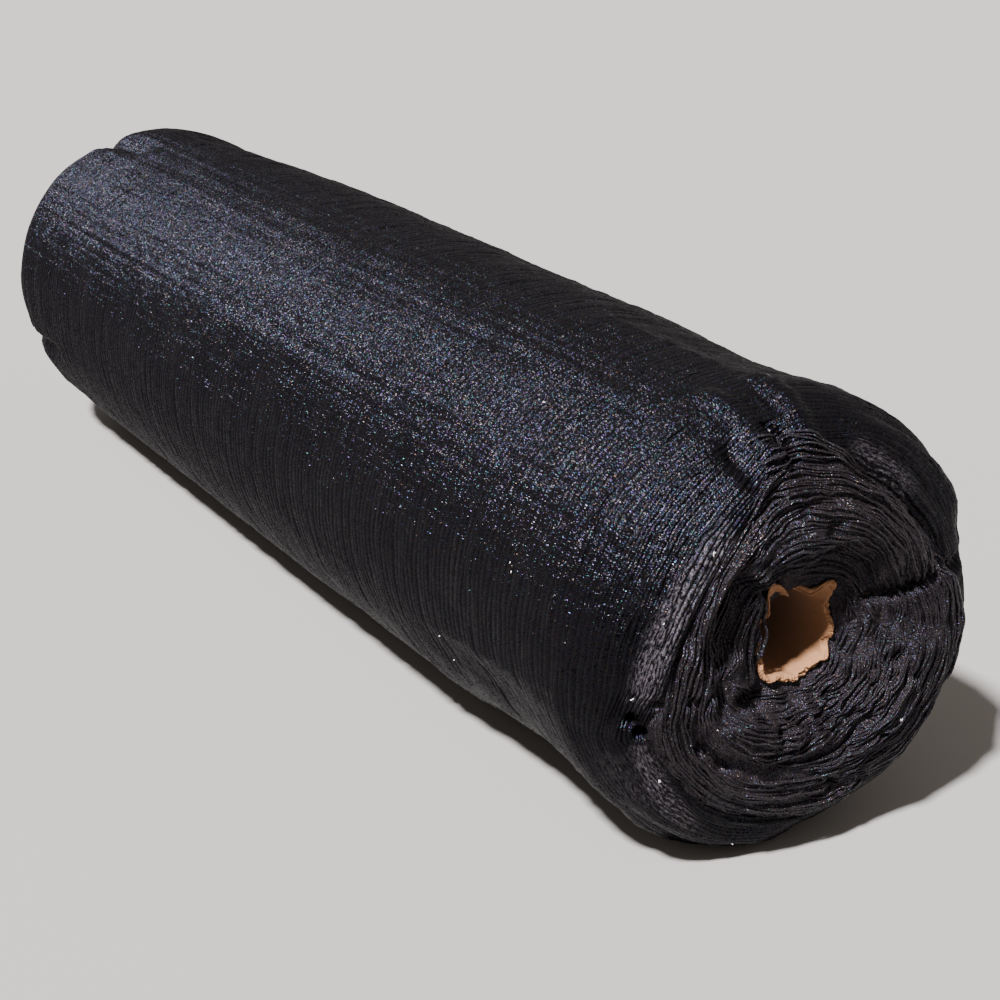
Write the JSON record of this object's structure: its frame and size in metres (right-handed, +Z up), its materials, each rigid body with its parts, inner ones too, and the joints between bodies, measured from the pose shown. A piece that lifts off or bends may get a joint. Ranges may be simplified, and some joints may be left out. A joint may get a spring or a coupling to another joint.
{
  "type": "bird netting roll",
  "caption": "Long roll of bunched black knitted bird netting wound on a card core, lying on its side, with folded rounded ends and an open bore.",
  "frame": {"origin": "middle of the resting face on the ground, below the middle of the roll", "axes": "+X along the roll towards the folded end with the torn card core, +Z up away from the resting face"},
  "size_m": [1.1446, 0.29, 0.2875],
  "materials": {
    "netting": "black knitted polyethylene net, bunched and wound tight, with a fine glitter where the threads catch the light",
    "core_card": "uncoated brown kraft card, spiral wound, torn and dusty at the rim"
  },
  "bodies": {
    "root": {"netting_roll": "netting", "core_tube": "core_card"}
  },
  "joints": []
}
